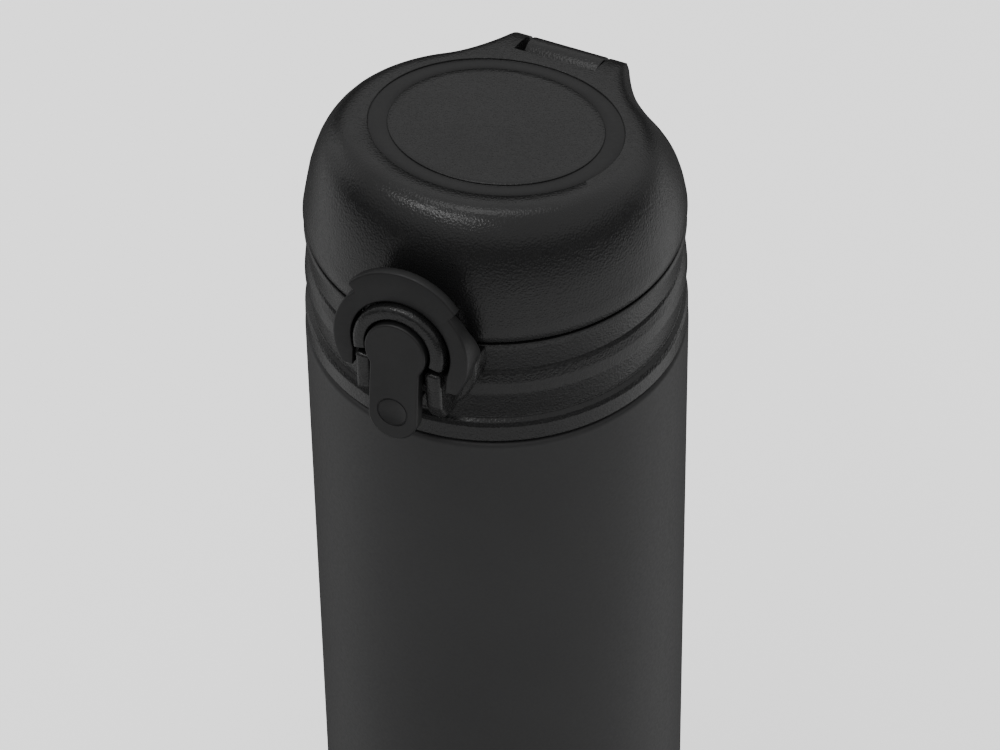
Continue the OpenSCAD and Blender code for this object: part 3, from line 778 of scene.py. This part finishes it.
def makeLeverKnuckle(k):
    outline = arc(k["axisY"], k["axisHeight"], k["knuckle"], -110, 110, 32) + k["knuckleBack"]
    return prism("leverKnuckle", outline, k["knuckleWidth"], sidePlane(-k["knuckleWidth"] / 2),
                 smoothPlastic, 0.2)


leverPlate = makeLever(lever)
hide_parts("open_lever")
for piece in (leverPlate, makeLeverHook(lever), makeLeverKnuckle(lever)):
    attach(piece, "lever")
print("ring and lever made")


# Floor, lights and sky.

stage = {"floor": 30.0, "floorGlow": 0.62}


def addFloor():
    mesh = bpy.data.meshes.new("floor")
    size = stage["floor"]
    corners = [(-size, -size, 0), (size, -size, 0), (size, size, 0), (-size, size, 0)]
    mesh.from_pydata(corners, [], [(0, 1, 2, 3)])
    floor = bpy.data.objects.new("floor", mesh)
    bpy.context.collection.objects.link(floor)
    material, nodes, links, shader, where = blankMaterial("floor", (0.93, 0.93, 0.93), 0.6, 0.0, 0.2)
    addSheenChange(nodes, links, shader, where, 4, 0.55, 0.65)
    shader.inputs["Emission Color"].default_value = (1, 1, 1, 1)
    shader.inputs["Emission Strength"].default_value = stage["floorGlow"]
    mesh.materials.append(material)
    floor.visible_glossy = False  # the dark finish mirrors the sky's lower half instead of the floor


# name, bearing and height in degrees, distance and size in metres, power
lamps = [
    ("key", -26, 58, 1.3, (1.0, 0.11), 5.5),
    ("right", 150, 4, 1.1, (0.7, 0.5), 0.3),
    ("left", -100, 4, 1.1, (0.7, 0.5), 0.7),
    ("over", 205, 78, 1.3, (0.6, 0.6), 3),
]
lampAim = Vector((0, 0, 0.18))


def addLight(name, bearing, height, distance, size, power):
    light = bpy.data.lights.new(name, "AREA")
    light.shape = "RECTANGLE"
    light.size, light.size_y = size
    light.energy = power
    a, e = math.radians(bearing), math.radians(height)
    lamp = bpy.data.objects.new(name, light)
    away = Vector((math.sin(a) * math.cos(e), -math.cos(a) * math.cos(e), math.sin(e)))
    spot = lampAim + distance * away
    lamp.location = spot
    lamp.rotation_mode = "QUATERNION"
    lamp.rotation_quaternion = (lampAim - spot).to_track_quat("-Z", "Y")
    bpy.context.collection.objects.link(lamp)


addFloor()
for lamp in lamps:
    addLight(*lamp)

sky = {
    "tones": [(0.0, 0.08), (0.07, 0.12), (0.13, 0.9), (0.34, 1.1), (0.41, 0.08), (0.52, 0.1),
              (0.68, 0.9), (1.0, 1.0)],
    "rightward": 0.15, "behind": 0.08, "dimFrom": 0.68, "dimTo": 1.14, "dimDown": -0.7,
}


def addSky(k):
    # tones run from straight down to straight up; the right is a little brighter, low behind is dim
    world = bpy.data.worlds.new("sky")
    world.use_nodes = True
    nodes, links = world.node_tree.nodes, world.node_tree.links
    ground = nodes["Background"]
    ground.inputs["Color"].default_value = (1, 1, 1, 1)
    where = nodes.new("ShaderNodeTexCoord")
    parts = nodes.new("ShaderNodeSeparateXYZ")
    links.new(where.outputs["Generated"], parts.inputs["Vector"])
    rise = nodes.new("ShaderNodeMapRange")
    rise.inputs["From Min"].default_value = -1
    links.new(parts.outputs["Z"], rise.inputs["Value"])
    steps = nodes.new("ShaderNodeValToRGB")
    for i, (at, tone) in enumerate(k["tones"]):
        if i > 1:
            steps.color_ramp.elements.new(at)
        steps.color_ramp.elements[i].position = at
        steps.color_ramp.elements[i].color = (tone, tone, tone, 1)
    links.new(rise.outputs["Result"], steps.inputs["Fac"])
    sideways = nodes.new("ShaderNodeVectorMath")
    sideways.operation = "DOT_PRODUCT"
    turn = math.radians(cameraPlace["side"])
    sideways.inputs[1].default_value = (math.cos(turn), math.sin(turn), 0)
    links.new(where.outputs["Generated"], sideways.inputs[0])
    balance = nodes.new("ShaderNodeMath")
    balance.operation = "MULTIPLY_ADD"
    balance.inputs[1].default_value = k["rightward"]
    balance.inputs[2].default_value = 1.0
    links.new(sideways.outputs["Value"], balance.inputs[0])
    back = nodes.new("ShaderNodeVectorMath")
    back.operation = "DOT_PRODUCT"
    back.inputs[1].default_value = (-math.sin(turn), math.cos(turn), k["dimDown"])
    links.new(where.outputs["Generated"], back.inputs[0])
    dim = nodes.new("ShaderNodeMapRange")
    dim.interpolation_type = "SMOOTHSTEP"
    dim.inputs["From Min"].default_value = k["dimFrom"]
    dim.inputs["From Max"].default_value = k["dimTo"]
    dim.inputs["To Min"].default_value = 1.0
    dim.inputs["To Max"].default_value = k["behind"]
    links.new(back.outputs["Value"], dim.inputs["Value"])
    both, strength = nodes.new("ShaderNodeMath"), nodes.new("ShaderNodeMath")
    both.operation = strength.operation = "MULTIPLY"
    links.new(steps.outputs["Color"], both.inputs[0])
    links.new(dim.outputs["Result"], both.inputs[1])
    links.new(both.outputs["Value"], strength.inputs[0])
    links.new(balance.outputs["Value"], strength.inputs[1])
    links.new(strength.outputs["Value"], ground.inputs["Strength"])
    bpy.context.scene.world = world


addSky(sky)
print("stage made")

bpy.context.view_layer.update()
